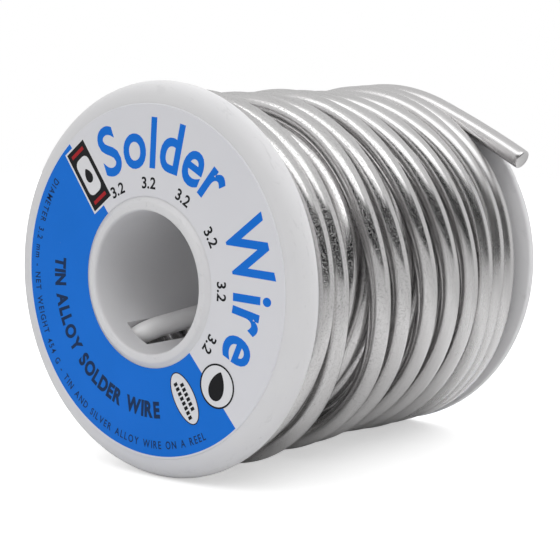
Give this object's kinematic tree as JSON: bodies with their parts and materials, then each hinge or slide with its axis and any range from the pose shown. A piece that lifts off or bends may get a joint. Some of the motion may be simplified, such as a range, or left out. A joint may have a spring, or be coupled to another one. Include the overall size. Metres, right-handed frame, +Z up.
{
  "type": "solder wire spool",
  "caption": "White plastic reel with a printed face and a through bore, wound with heavy bare solder wire whose free end stands off the winding.",
  "frame": {"origin": "on the axis of the bore, midway between the two flange faces", "axes": "+Y along the bore from the printed front face to the rear face; +Z up with the reel lying on its flange rims"},
  "size_m": [0.058, 0.063, 0.0586],
  "materials": {
    "reel_plastic": "white moulded polystyrene, satin gloss",
    "label_print": "coated paper label, white and blue print",
    "solder_wire": "bright drawn tin-silver solder, fine draw marks"
  },
  "bodies": {
    "root": {"reel_front_half": "reel_plastic", "reel_rear_half": "reel_plastic", "front_label": "label_print", "rear_label": "label_print", "wire_layer_1": "solder_wire", "wire_layer_2": "solder_wire", "wire_layer_3": "solder_wire", "wire_layer_4": "solder_wire", "wire_layer_5": "solder_wire", "wire_start_tail": "solder_wire", "wire_free_end": "solder_wire"}
  },
  "joints": []
}
